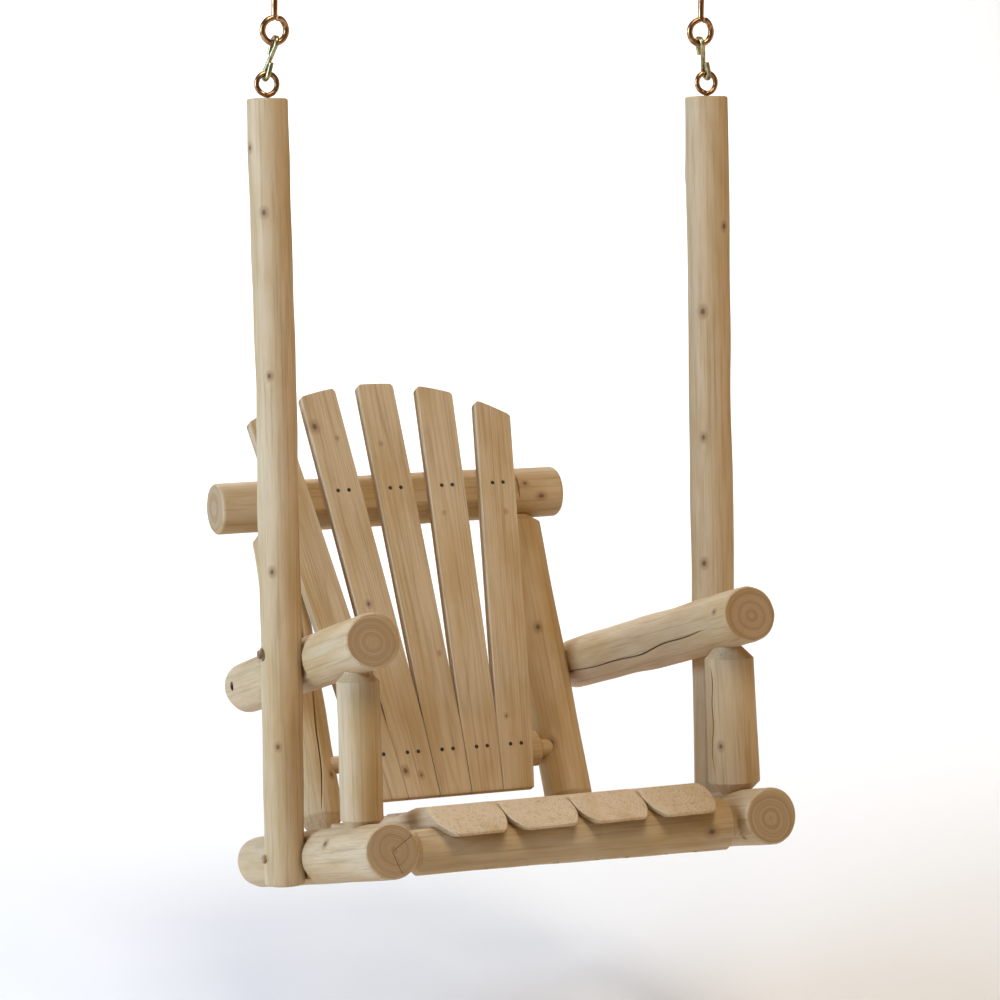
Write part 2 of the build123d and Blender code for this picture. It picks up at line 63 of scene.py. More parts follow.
# ---------------------------------------------------------------- camera
# A long lens a little above the hooks looks down at the seat from the sitter's front left.
# It stands well back, so the two posts look almost parallel.
camera_place = Vector((-2.3376, -5.3766, 0.1432))
camera_heading = np.radians(23.733)
camera_down = np.radians(9.098)
camera_roll = np.radians(0.936)
camera_lens = 129.6
looking = Vector((
    np.sin(camera_heading) * np.cos(camera_down),
    np.cos(camera_heading) * np.cos(camera_down),
    -np.sin(camera_down),
))
level = looking.cross(Vector((0, 0, 1))).normalized()
upward = level.cross(looking)
camera_right = level * np.cos(camera_roll) + upward * np.sin(camera_roll)
camera_up = camera_right.cross(looking)
camera_data = bpy.data.cameras.new("camera")
camera_data.lens = camera_lens
camera_data.sensor_width = 36.0
camera_data.clip_end = 60.0
camera = bpy.data.objects.new("camera", camera_data)
camera.matrix_world = Matrix.Translation(camera_place) @ Matrix((
    camera_right, camera_up, -looking
)).transposed().to_4x4()
bpy.context.scene.collection.objects.link(camera)
bpy.context.scene.camera = camera

# ---------------------------------------------------------------- floor and light
# A pale seamless floor that curves up far behind the swing, as a studio sweep does.
# Window light comes from the left, cool and broad; a weaker warm light comes from the right.
floor_drop = 0.26
sweep_radius = 4.0
sweep_back = 3.0
sweep_half = 14.0
floor_level = cad_bounds[0][2] - floor_drop


def sweep_surface():
    """A floor that runs back level and then bends up through a quarter circle into a wall."""
    columns = 2
    bend = np.linspace(0, np.pi / 2, 24)
    wall = sweep_back + sweep_radius
    y = np.concatenate([[-sweep_half], sweep_back + sweep_radius * np.sin(bend), [wall]])
    z = np.concatenate([[0], sweep_radius * (1 - np.cos(bend)), [2 * sweep_half]]) + floor_level
    x = np.linspace(-sweep_half, sweep_half, columns)
    grid = np.stack(np.broadcast_arrays(x[None, :], y[:, None], z[:, None]), axis=-1)
    across = np.arange(len(y) - 1)[:, None] * columns + np.arange(columns - 1)[None, :]
    faces = np.stack([across, across + 1, across + columns + 1, across + columns], -1).reshape(-1, 4)
    mesh = bpy.data.meshes.new("studio_floor")
    mesh.from_pydata(grid.reshape(-1, 3).tolist(), [], faces.tolist())
    mesh.shade_smooth()
    return mesh


studio_floor = bpy.data.objects.new("studio_floor", sweep_surface())
bpy.context.scene.collection.objects.link(studio_floor)
floor_paint = bpy.data.materials.new("floor_paint")
floor_paint.use_nodes = True
floor_shader = floor_paint.node_tree.nodes["Principled BSDF"]
floor_shader.inputs["Base Color"].default_value = (0.86, 0.86, 0.86, 1)
floor_shader.inputs["Roughness"].default_value = 0.9
studio_floor.data.materials.append(floor_paint)

world = bpy.data.worlds.new("studio")
world.use_nodes = True
world.node_tree.nodes["Background"].inputs["Color"].default_value = (1.0, 0.76, 0.46, 1)
world.node_tree.nodes["Background"].inputs["Strength"].default_value = 0.13
bpy.context.scene.world = world
bpy.context.scene.view_settings.view_transform = "Standard"

seat_aim = Vector((0, 0.1, -0.95))
backdrop_aim = Vector((2.4, 5.6, -1.6))
for name, place, aim, size, power, colour in (
    ("window", (-4.6, -0.2, 0.5), seat_aim, 2.4, 255.0, (0.50, 0.70, 1.0)),
    ("warm_side", (3.8, -1.6, -0.1), seat_aim, 2.2, 20.0, (1.0, 0.58, 0.18)),
    ("front_top", (-0.4, -3.1, 4.6), seat_aim, 2.4, 185.0, (1.0, 0.92, 0.80)),
    ("backdrop", (1.8, 4.4, 3.2), backdrop_aim, 3.5, 300.0, (1.0, 1.0, 1.0)),
):
    lamp = bpy.data.lights.new(name, "AREA")
    lamp.energy = power
    lamp.size = size
    lamp.color = colour
    lamp_object = bpy.data.objects.new(name, lamp)
    lamp_object.location = place
    lamp_object.rotation_euler = (aim - Vector(place)).to_track_quat("-Z", "Y").to_euler()
    bpy.context.scene.collection.objects.link(lamp_object)

# ---------------------------------------------------------------- hanger posts
# Two tall poles of peeled cedar carry the seat.  Bark is off, knots are trimmed flush, the
# ends are eased, and each is let into the outer side of a side rail and an armrest.

# A log's angles are counted from the side that faces the camera.  Marks hold no_mark where
# there is nothing.  CAD corners may lie cad_slack off their face, and those that agree to one
# of ring_steps in a metre make one ring.
toward_viewer = -np.array(looking)
no_mark = 8.0
cad_slack = 2e-4
ring_steps = 5000
shoulder_step = 0.0003
face_near = 0.0004
close_rows = np.linspace(-1.4, 1.4, 17)


def cad_points(node):
    """Every corner of a CAD node's mesh."""
    mesh = frame["nodes"][node].data
    flat = np.empty(3 * len(mesh.vertices), np.float32)
    mesh.vertices.foreach_get("co", flat)
    return flat.reshape(-1, 3).astype(float)


def circle_centre(points, first, second):
    """The centre of the circle through most of the points, in the plane of two directions."""
    a, b = points @ first, points @ second
    keep = np.full(len(a), True)
    for _ in range(8):
        table = np.stack([a[keep], b[keep], np.ones(keep.sum())], 1)
        fit = np.linalg.lstsq(table, a[keep] ** 2 + b[keep] ** 2, rcond=None)[0] / 2
        apart = np.hypot(a - fit[0], b - fit[1])
        keep = apart > apart.max() - np.maximum(cad_slack, 0.5 * (apart.max() - np.median(apart)))
    return fit[0] * first + fit[1] * second


def turned_outline(points):
    """The axis of a turned piece, and its outline as rings (distance along, radius).

    Only rings that go evenly round the axis count, so the rims of bored holes do not.
    """
    along = np.linalg.eigh(np.cov(points.T))[1][:, 2]
    along = along * np.sign(along[np.abs(along).argmax()])
    for near in (0.003, 0.002, 0.001, 0.0004, 0.0001, 0.0001):
        first = np.cross(along, [0.3, 0.5, 0.8])
        first /= np.linalg.norm(first)
        second = np.cross(along, first)
        reach = points @ along
        ends = []
        for close in (reach < reach.min() + near, reach > reach.max() - near):
            ends.append(circle_centre(points[close], first, second) + along * reach[close].mean())
        along = (ends[1] - ends[0]) / np.linalg.norm(ends[1] - ends[0])
    start = ends[0] + along * ((points @ along).min() - ends[0] @ along)
    distance = (points - start) @ along
    radius = np.linalg.norm(points - start - distance[:, None] * along, axis=1)
    facing = (points - start - distance[:, None] * along) / np.maximum(radius, 1e-6)[:, None]
    rings, member, count = np.unique(
        np.round(np.stack([distance, radius], 1) * ring_steps), axis=0, return_inverse=True, return_counts=True
    )
    lopsided = np.zeros((len(rings), 3))
    np.add.at(lopsided, member.ravel(), facing)
    whole = (count >= 8) & (np.linalg.norm(lopsided, axis=1) < 0.35 * count)
    rings = rings[whole & (rings[:, 1] > 0.3 * rings[:, 1].max())] / ring_steps
    level_ring = np.unique(rings[:, 0])
    outer = np.array([rings[rings[:, 0] == s, 1].max() for s in level_ring])
    return start, along, level_ring, outer


def flat_corners(node, point, normal):
    """The corners of a CAD node's triangles that lie in a plane."""
    mesh = frame["nodes"][node].data
    count = len(mesh.polygons)
    faces = {}
    for what in ("normal", "center"):
        flat = np.empty(3 * count, np.float32)
        mesh.polygons.foreach_get(what, flat)
        faces[what] = flat.reshape(-1, 3).astype(float)
    corner = np.empty(len(mesh.loops), np.int32)
    mesh.loops.foreach_get("vertex_index", corner)
    in_plane = np.abs(faces["normal"] @ normal) > 0.9999
    in_plane &= np.abs((faces["center"] - point) @ normal) < cad_slack
    return cad_points(node)[corner.reshape(-1, 3)[in_plane].ravel()]


def put_mesh(name, grid, marks=None, sharp=35):
    """A mesh from a grid of points, rows by columns, closed around its rows.

    Each cell is one face, repeated points merge, and the signed volume turns the faces outward.
    """
    rows, columns = grid.shape[:2]
    row_start = np.arange(rows - 1)[:, None] * columns
    here = row_start + np.arange(columns)
    beside = row_start + (np.arange(columns) + 1) % columns
    faces = np.stack([here, beside, beside + columns, here + columns], -1).reshape(-1, 4)
    points = grid.reshape(-1, 3)
    corner = points[faces]
    volume = np.einsum("ij,ij->i", corner[:, 0], np.cross(corner[:, 1], corner[:, 2])).sum()
    volume += np.einsum("ij,ij->i", corner[:, 0], np.cross(corner[:, 2], corner[:, 3])).sum()
    if volume < 0:
        faces = faces[:, ::-1]
    mesh = bpy.data.meshes.new(name)
    mesh.vertices.add(len(points))
    mesh.vertices.foreach_set("co", points.astype(np.float32).ravel())
    mesh.loops.add(faces.size)
    mesh.loops.foreach_set("vertex_index", faces.astype(np.int32).ravel())
    mesh.polygons.add(len(faces))
    mesh.polygons.foreach_set("loop_start", np.arange(0, faces.size, 4, dtype=np.int32))
    for mark, values in (marks or {}).items():
        layer = mesh.attributes.new(mark, "FLOAT", "POINT")
        layer.data.foreach_set("value", values.astype(np.float32).ravel())
    mesh.update(calc_edges=True)
    joined = bmesh.new()
    joined.from_mesh(mesh)
    bmesh.ops.remove_doubles(joined, verts=joined.verts, dist=1e-6)
    joined.to_mesh(mesh)
    joined.free()
    mesh.validate()
    mesh.shade_smooth()
    mesh.set_sharp_from_angle(angle=np.radians(sharp))
    piece = bpy.data.objects.new(name, mesh)
    bpy.context.scene.collection.objects.link(piece)
    return piece


def finish_piece(piece, body, slot, material, *nodes):
    """Give a piece its material and its body, and hide the CAD nodes that it stands for.  The slot is not
    used.
    """
    piece.data.materials.append(material)
    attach(piece, body)
    if nodes:
        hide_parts(*nodes)


def hand_peeled(angle, distance, radius, seed):
    """Radial unevenness of a peeled log: sums of slow waves around and along it."""
    rng = np.random.default_rng(seed)
    height = np.zeros(np.broadcast(angle, distance).shape)
    for turns, size in ((1, 0.010), (2, 0.016), (3, 0.010), (5, 0.005), (8, 0.004), (13, 0.0025)):
        for _ in range(2):
            wave = rng.uniform(0.12, 0.9)
            phase, drift = rng.uniform(0, 2 * np.pi, 2)
            height += size * np.cos(turns * angle + 2 * np.pi * distance / wave + phase + drift)
    return height * radius * 0.7


def log_grid(node, seed, columns=96, row=0.004, bow=0.0, bow_angle=0.0, knots=(), check=None,
             rays=(), flats=(), holes=()):
    """A log as a function of angle around and distance along its own axis.

    The CAD outline gives the radius.  Waves make it uneven, each knot (share along, degrees from
    the viewer's side, radius) swells it, a check (first share, last share, first and last degrees,
    width, depth) opens it, and each flat (point, normal) cuts it back between its two shoulders.
    A hole (middle of its bottom, outward direction, radius) sinks the wood down to that bottom.
    """
    points = cad_points(node)
    start, along, ring_s, ring_r = turned_outline(points)
    facing = toward_viewer - along * (toward_viewer @ along)
    facing /= np.linalg.norm(facing)
    side = np.cross(along, facing)
    length = ring_s[-1]
    cuts = []
    for point, normal in flats:
        reach = (flat_corners(node, point, normal) - start) @ along
        cuts.append((np.asarray(point), np.asarray(normal), reach.min(), reach.max()))
    shoulders = [edge + step for cut in cuts for edge in cut[2:] for step in (-shoulder_step, shoulder_step)]
    even = np.linspace(0, length, int(length / row))
    at_holes = [(bottom - start) @ along + size * step for bottom, _, size in holes for step in close_rows]
    s_rows = np.unique(np.clip(np.concatenate([even, ring_s, shoulders, at_holes]), 0, length))
    r_rows = np.interp(s_rows, ring_s, ring_r)
    cap = np.linspace(0, 0.97, 24)
    s = np.concatenate([0 * cap, s_rows, 0 * cap + length])[:, None]
    r = np.concatenate([cap * r_rows[0], r_rows, cap[::-1] * r_rows[-1]])[:, None]
    full = ring_r.max()
    angle = np.linspace(0, 2 * np.pi, columns, endpoint=False)
    if check:
        begin, stop, first, last, width, depth = check
        close = np.array([-1.6, -0.8, -0.35, 0.35, 0.8, 1.6]) * width / full
        angle = np.sort(np.concatenate([angle, close % (2 * np.pi)]))
        share = s / length
        run = np.clip((share - begin) / (stop - begin), 0, 1)
        wander = 0.10 * np.sin(9.0 * share + seed) + 0.05 * np.sin(23.0 * share + 2 * seed)
        path = np.radians(first + (last - first) * run) + wander * 0.035 / full
        angle = angle[None, :] + path
    else:
        angle = np.broadcast_to(angle[None, :], (len(s), columns))
    body_share = np.clip(r / full, 0, 1) ** 2
    wide = r + hand_peeled(angle, s, full, seed) * body_share
    at_start, at_end = s < face_near, s > length - face_near
    cut = np.broadcast_to((at_start | at_end) & (r < full), wide.shape) * 1.0
    knot = np.full(wide.shape, no_mark)
    for where, turn, size in knots:
        apart = (angle - np.radians(turn) + np.pi) % (2 * np.pi) - np.pi
        gap = np.hypot((s - where * length) / 1.35, apart * full) / size
        knot = np.minimum(knot, gap)
        wide = wide + 0.0011 * np.exp(-((gap / 2.2) ** 2)) * body_share
    line = np.full(wide.shape, no_mark)
    if check:
        offset = (angle - path + np.pi) % (2 * np.pi) - np.pi
        taper = np.sqrt(np.clip(np.sin(np.pi * run), 0, 1)) * (run > 0) * (run < 1)
        gape = np.clip(1 - np.abs(offset) * full / (0.5 * width), 0, 1)
        wide = wide - depth * gape * taper
        line = np.clip(offset * full * 1000 / np.maximum(taper, 0.05), -no_mark, no_mark)
        line = np.where(np.abs(offset) < 0.6, line, no_mark)
    for end, turn, reach in rays:
        on_face = at_start if end == 0 else at_end
        apart = (angle - np.radians(turn) + np.pi) % (2 * np.pi) - np.pi
        ray = np.where(np.abs(apart) < 1.2, r * np.sin(apart) * 1000 / 0.5, no_mark)
        ray = np.where((r < reach * full) & on_face, np.clip(ray, -no_mark, no_mark), no_mark)
        line = np.where(np.abs(ray) < np.abs(line), ray, line)
    bow_way = facing * np.cos(np.radians(bow_angle)) + side * np.sin(np.radians(bow_angle))
    centre = start + along * s + bow * np.sin(np.pi * s / length) * bow_way
    grid = centre[:, None, :] + wide[..., None] * (
        np.cos(angle)[..., None] * facing + np.sin(angle)[..., None] * side
    )
    for point, normal, low, high in cuts:
        inside = (s[:, 0] > low) & (s[:, 0] < high)
        over = np.clip((grid - point) @ normal, 0, None) * inside[:, None]
        grid = grid - over[..., None] * normal
    for bottom, outward, size in holes:
        above = (grid - bottom) @ outward
        gap = np.linalg.norm(grid - bottom - above[..., None] * outward, axis=-1) - size
        # Inside a hole's mouth the check mark falls to zero, so the shader paints the hole's walls and bottom
        # near black as painted shade.
        mouth = np.where(above > 0, np.clip(gap * 1000, 0, no_mark), no_mark)
        line = np.where(mouth < np.abs(line), mouth, line)
        grid = grid - (above * ((above > 0) & (gap < 0)))[..., None] * outward
    axes = Matrix((Vector(facing), Vector(side), Vector(along))).transposed()
    return grid, {"knot": knot, "check": line, "cut": cut}, start, axes, full


def add_node(tree, kind, settings=(), **sockets):
    """A shader node; a socket value is a number, a colour or another node's output."""
    made = tree.nodes.new("ShaderNode" + kind)
    for key, value in dict(settings).items():
        setattr(made, key, value)
    for key, value in sockets.items():
        target = made.inputs[int(key[1:])] if key[0] == "_" else made.inputs[key]
        if isinstance(value, bpy.types.NodeSocket):
            tree.links.new(value, target)
        else:
            target.default_value = value
    return made


def calc(tree, operation, *values):
    """The result of one arithmetic step."""
    sockets = {f"_{k}": v for k, v in enumerate(values)}
    return add_node(tree, "Math", {"operation": operation}, **sockets).outputs[0]


def vector_calc(tree, operation, first, second):
    """The result of one step on two vectors."""
    return add_node(tree, "VectorMath", {"operation": operation}, _0=first, _1=second).outputs[0]


def ramp(tree, value, low, high, bottom=0.0, top=1.0):
    """A smooth step of a value from low to high."""
    sockets = {"_1": low, "_2": high, "_3": bottom, "_4": top}
    return add_node(tree, "MapRange", {"interpolation_type": "SMOOTHSTEP"}, _0=value, **sockets).outputs[0]


def blend_colour(tree, share, first, second, mode="MIX"):
    """Two colours mixed by a share."""
    settings = {"data_type": "RGBA", "blend_type": mode}
    return add_node(tree, "Mix", settings, _0=share, _6=first, _7=second).outputs[2]


def grain_noise(tree, place, scale, detail=3.0):
    """Noise stretched by a scale for each axis of the log."""
    spread = vector_calc(tree, "MULTIPLY", place, scale)
    return add_node(tree, "TexNoise", Vector=spread, Scale=1.0, Detail=detail, Roughness=0.55)


pale = (0.62, 0.455, 0.27, 1)
golden = (0.50, 0.325, 0.14, 1)
heartwood = (0.47, 0.31, 0.17, 1)
latewood = (0.30, 0.165, 0.062, 1)
knot_rim = (0.33, 0.185, 0.085, 1)
knot_core = (0.13, 0.065, 0.032, 1)
# Near black for cracks; on the walls and bottom of bored holes it is painted shade.
crack_dark_and_hole_shade = (0.05, 0.022, 0.012, 1)
pith_waver = 0.012


def cedar(name, start, axes, radius, pith=(0.0, 0.0), ring=0.0023, seed=0.0, warm=0.0, figure=1.0):
    """Cedar seen in the log's own axes: growth rings about the pith, fibres along it.

    The rings are equal steps of the distance from a wavering pith line, each darkening slowly
    and ending sharply.  Knots and checks follow the mesh's own marks.
    """
    material = bpy.data.materials.new(name)
    material.use_nodes = True
    tree = material.node_tree
    shader = tree.nodes["Principled BSDF"]
    own = add_node(tree, "TexCoord").outputs["Object"]
    rotation = tuple(axes.to_euler())
    place = add_node(
        tree, "Mapping", {"vector_type": "TEXTURE"}, Vector=own, Location=tuple(start), Rotation=rotation
    ).outputs[0]
    place = vector_calc(tree, "ADD", place, (pith[0], pith[1], seed))
    waver = grain_noise(tree, place, (13, 13, 2.2), 2.0).outputs["Color"]
    waver = vector_calc(tree, "SUBTRACT", waver, (0.5, 0.5, 0.5))
    waver = vector_calc(tree, "MULTIPLY", waver, (pith_waver, pith_waver, 0.0))
    wavy = vector_calc(tree, "ADD", place, waver)
    flat = vector_calc(tree, "MULTIPLY", wavy, (1, 1, 0))
    out = add_node(tree, "VectorMath", {"operation": "LENGTH"}, _0=flat).outputs["Value"]
    width = grain_noise(tree, place, (40, 40, 0.8), 1.0).outputs["Fac"]
    phase = calc(tree, "MULTIPLY_ADD", out, 1 / ring, calc(tree, "MULTIPLY", width, 1.6))
    late = calc(tree, "PINGPONG", phase, 0.5)
    late = calc(tree, "POWER", calc(tree, "MULTIPLY", late, 2.0), 3.0)
    cut = add_node(tree, "Attribute", {"attribute_name": "cut"}).outputs["Fac"]
    fibre = grain_noise(tree, place, (1500, 1500, 26), 2.0).outputs["Fac"]
    streak = grain_noise(tree, place, (210, 210, 4.5), 3.0).outputs["Fac"]
    cloud = grain_noise(tree, place, (17, 17, 4.0), 3.0).outputs["Fac"]
    colour = blend_colour(tree, ramp(tree, cloud, 0.36 - warm, 0.72 - warm), pale, golden)
    bands = add_node(tree, "CombineXYZ", X=calc(tree, "MULTIPLY", out, 150.0), Y=seed).outputs[0]
    bands = add_node(tree, "TexNoise", Vector=bands, Scale=1.0, Detail=2.0).outputs["Fac"]
    inner = calc(tree, "MULTIPLY_ADD", ramp(tree, out, radius * 0.96, radius * 0.80), 0.45, 0.4)
    colour = blend_colour(tree, calc(tree, "MULTIPLY", inner, cut), colour, heartwood)
    bands = calc(tree, "MULTIPLY", ramp(tree, bands, 0.42, 0.62, 0.0, 0.5), cut)
    colour = blend_colour(tree, bands, colour, latewood)
    rings_seen = calc(tree, "MULTIPLY_ADD", cut, 0.62 - 0.5 * figure, 0.5 * figure)
    colour = blend_colour(tree, calc(tree, "MULTIPLY", late, rings_seen), colour, latewood)
    along_side = calc(tree, "SUBTRACT", 1.0, cut)
    streaks = calc(tree, "MULTIPLY", ramp(tree, streak, 0.46, 0.76, 0.0, 0.48), along_side)
    colour = blend_colour(tree, streaks, colour, latewood)
    colour = blend_colour(tree, ramp(tree, fibre, 0.42, 0.85, 0.0, 0.35), colour, latewood)
    rough_edge = calc(tree, "MULTIPLY_ADD", streak, 0.5, -0.25)
    knot = add_node(tree, "Attribute", {"attribute_name": "knot"}).outputs["Fac"]
    knot = calc(tree, "ADD", knot, rough_edge)
    rim = calc(tree, "MULTIPLY", ramp(tree, knot, 1.7, 0.7), 0.6)
    colour = blend_colour(tree, rim, colour, knot_rim)
    colour = blend_colour(tree, ramp(tree, knot, 0.75, 0.3, 0.0, 0.85), colour, knot_core)
    crack = add_node(tree, "Attribute", {"attribute_name": "check"}).outputs["Fac"]
    crack = calc(tree, "ADD", calc(tree, "ABSOLUTE", crack), calc(tree, "MULTIPLY", rough_edge, 0.9))
    crack_and_hole_mask = ramp(tree, crack, 1.0, 0.45)
    colour = blend_colour(tree, calc(tree, "MULTIPLY", ramp(tree, crack, 2.6, 0.8), 0.4), colour, knot_rim)
    # Cracks are painted near black, and the inside of each bored hole gets the same colour as painted shade.
    colour = blend_colour(tree, crack_and_hole_mask, colour, crack_dark_and_hole_shade)
    tree.links.new(colour, shader.inputs["Base Color"])
    rough = calc(tree, "MULTIPLY_ADD", fibre, 0.22, 0.5)
    tree.links.new(rough, shader.inputs["Roughness"])
    shader.inputs["Specular IOR Level"].default_value = 0.32
    height = calc(tree, "MULTIPLY_ADD", streak, 0.9, calc(tree, "MULTIPLY", fibre, 0.5))
    height = calc(tree, "SUBTRACT", height, calc(tree, "MULTIPLY", late, 0.35))
    height = calc(tree, "SUBTRACT", height, calc(tree, "MULTIPLY", crack_and_hole_mask, 2.0))
    bump = add_node(tree, "Bump", Strength=0.55, Distance=0.0007, Height=height)
    tree.links.new(bump.outputs[0], shader.inputs["Normal"])
    return material


def make_log(node, seed, warm=0.0, pith=(0.0, 0.0), ring=0.0034, figure=0.2, **shape):
    """One log of the swing, from its CAD node to a finished piece."""
    grid, marks, start, axes, radius = log_grid(node, seed, **shape)
    piece = put_mesh("wood_" + node, grid, marks)
    material = cedar("cedar_" + node, start, axes, radius, pith, ring, seed * 0.37, warm, figure)
    finish_piece(piece, "swing", "peeled_cedar", material, node)
    return piece


make_log("hanger_post_left", 1, bow=0.0035, bow_angle=90, knots=(
    (0.938, -58, 0.006), (0.857, -15, 0.0065), (0.652, -12, 0.0055), (0.404, -19, 0.006),
    (0.181, -10, 0.0055), (0.52, 150, 0.008), (0.77, 120, 0.007), (0.30, -140, 0.007),
))
make_log("hanger_post_right", 2, knots=(
    (0.828, 45, 0.006), (0.716, -20, 0.0075), (0.549, -23, 0.006), (0.381, -26, 0.0065),
    (0.62, 160, 0.008), (0.24, -150, 0.007), (0.9, -100, 0.006),
))

# ---------------------------------------------------------------- side rails
# The two lowest logs lie front to back and carry the cross rails in bored holes.  Each has a
# flat-bottomed seat sawn in its outer side, where the hanger post lies against it.
outer_flat = {}
for side_name, sign in (("left", -1), ("right", 1)):
    low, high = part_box("hanger_post_" + side_name)
    inner_face = high.x if sign < 0 else low.x
    outer_flat[side_name] = (np.array([inner_face, 0, 0]), np.array([sign, 0, 0]))
make_log(
    "side_rail_left", 3, flats=[outer_flat["left"]], pith=(0.003, -0.002),
    rays=[(0, 160, 0.92), (0, 262, 0.85)], knots=((0.3, 40, 0.008), (0.7, -60, 0.008)),
)
make_log(
    "side_rail_right", 4, flats=[outer_flat["right"]], pith=(-0.003, 0.004),
    knots=((0.06, -30, 0.005), (0.6, 140, 0.009)),
)

# ---------------------------------------------------------------- armrests
# Thick logs that slope down to the back.  Each sits on its short post in front, is sawn flat
# outside for the hanger post, and flat inside at the back, where it is screwed to the upright.
arm_screw_rim = 0.006
hole_gap = 0.0006
arm_marks = {
    "left": {"knots": ((0.44, -20, 0.006), (0.7, 60, 0.008))},
    "right": {
        "knots": ((0.054, 31, 0.006), (0.55, 100, 0.008)),
        "check": (0.13, 0.99, -4, -16, 0.0022, 0.006),
    },
}


def head_centres(node, direction, rim):
    """The middles of a CAD node's screw heads: of the rings that lie furthest along a direction."""
    points = cad_points(node)
    reach = points @ direction
    left_over = points[reach > reach.max() - cad_slack]
    centres = []
    while len(left_over):
        near = np.linalg.norm(left_over - left_over[0], axis=1) < 2.4 * rim
        centres.append((left_over[near].min(0) + left_over[near].max(0)) / 2)
        left_over = left_over[~near]
    return centres


def screw_holes(node, direction, rim):
    """A bored hole, a little wider than the head, over each screw head of a CAD node."""
    return [(place, direction, rim + hole_gap) for place in head_centres(node, direction, rim)]


for side_name, sign, seed in (("left", -1, 5), ("right", 1, 6)):
    low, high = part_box("back_upright_" + side_name)
    rear_face = low.x if sign < 0 else high.x
    rear_flat = (np.array([rear_face, 0, 0]), np.array([-sign, 0, 0]))
    holes = screw_holes("arm_screws", np.array([sign, 0.0, 0.0]), arm_screw_rim)
    make_log(
        "armrest_" + side_name, seed, columns=144, flats=[outer_flat[side_name], rear_flat], holes=holes,
        pith=(0.002 * sign, 0.003), **arm_marks[side_name],
    )

# ---------------------------------------------------------------- short front posts
# A stout post stands between each side rail and armrest.  A cutter has bevelled its ends
# down to round pegs, which are driven into bored holes.
make_log("front_post_left", 7, row=0.003, knots=((0.7, 120, 0.007),))
make_log(
    "front_post_right", 8, row=0.003, check=(0.22, 0.8, -52, -56, 0.0016, 0.004),
    knots=((0.37, -32, 0.006),),
)

# ---------------------------------------------------------------- cross rails
# The front and rear rails tie the side rails together and carry the seat slats.  Their ends
# are bevelled to pegs too, and the front one is bored from below for the seat's front screws.
screw_rim = 0.0039
rail_run = turned_outline(cad_points("side_rail_left"))[1] * [0, 1, 1]
rail_run /= np.linalg.norm(rail_run)
seat_up = np.array([0, -rail_run[2], rail_run[1]])
make_log(
    "front_rail", 9, warm=0.10, columns=144, holes=screw_holes("seat_slat_screws", -seat_up, screw_rim),
    knots=((0.86, 10, 0.009), (0.33, 130, 0.008)),
)
make_log("rear_rail", 10, warm=0.05, knots=((0.2, 150, 0.008), (0.7, -150, 0.009)))

# ---------------------------------------------------------------- back uprights
# Two leaning logs stand on the rear rail and hold the crest rail, pegged at both ends.
make_log(
    "back_upright_left", 11, warm=0.04, check=(0.10, 0.93, 14, 62, 0.0026, 0.007),
    knots=((0.2, 52, 0.006), (0.6, -120, 0.008)),
)
make_log(
    "back_upright_right", 12, warm=0.06,
    knots=((0.592, 4, 0.007), (0.239, -16, 0.0085), (0.75, 150, 0.008)),
)

# ---------------------------------------------------------------- crest and lower back rails
# The crest rail and the thinner rail below it are sawn flat in front, where the slats are
# screwed on.  The lower one is pegged into the uprights.
sideways = np.array([1.0, 0.0, 0.0])


def widest_face(node):
    """The normal of a CAD node's largest face, turned to the upper side."""
    faces = frame["nodes"][node].data.polygons
    area = np.empty(len(faces), np.float32)
    faces.foreach_get("area", area)
    normal = np.array(faces[int(area.argmax())].normal, float)
    return normal * np.sign(normal[2])


slat_normal = widest_face("back_slat_3")
slat_up = np.cross(slat_normal, sideways)
slat_back = slat_normal * (cad_points("back_slat_3") @ slat_normal).min()
slat_flat = (slat_back, slat_normal)
make_log(
    "crest_rail", 13, flats=[slat_flat], pith=(0.003, 0.002), warm=0.05,
    knots=((0.12, -20, 0.008), (0.93, 8, 0.007), (0.885, -22, 0.005)),
)
make_log("lower_back_rail", 14, flats=[slat_flat], warm=0.05)

# ---------------------------------------------------------------- back slats
# Five sawn boards fan out from the seat.  The left front edge of each is rounded over, the
# others are relieved behind a crisp arris, and the tops follow one arc with rounded corners.
board_edge = 0.0022
board_ring = 0.0026
top_reach = 0.10
half_share = np.array([0.045, 0.06, 0.083, 0.106, 0.15, 0.2, 0.28, 0.36, 0.43])
board_share = np.concatenate([half_share, [0.5], 1 - half_share[::-1]])
board_pith = {1: (0.02, 0.07), 2: (-0.035, 0.055), 3: (0.012, 0.085), 4: (-0.02, 0.075), 5: (0.05, 0.05)}
board_knots = {
    2: ((-0.022, 0.123, 0.009), (0.013, 0.100, 0.004), (-0.009, -0.204, 0.0055), (-0.022, -0.502, 0.007),
        (0.004, -0.511, 0.0055)),
    3: ((-0.011, 0.086, 0.004), (0.02, -0.30, 0.004)),
    4: ((-0.012, -0.047, 0.0035),),
    5: ((0.012, -0.051, 0.004), (-0.014, -0.42, 0.004)),
}


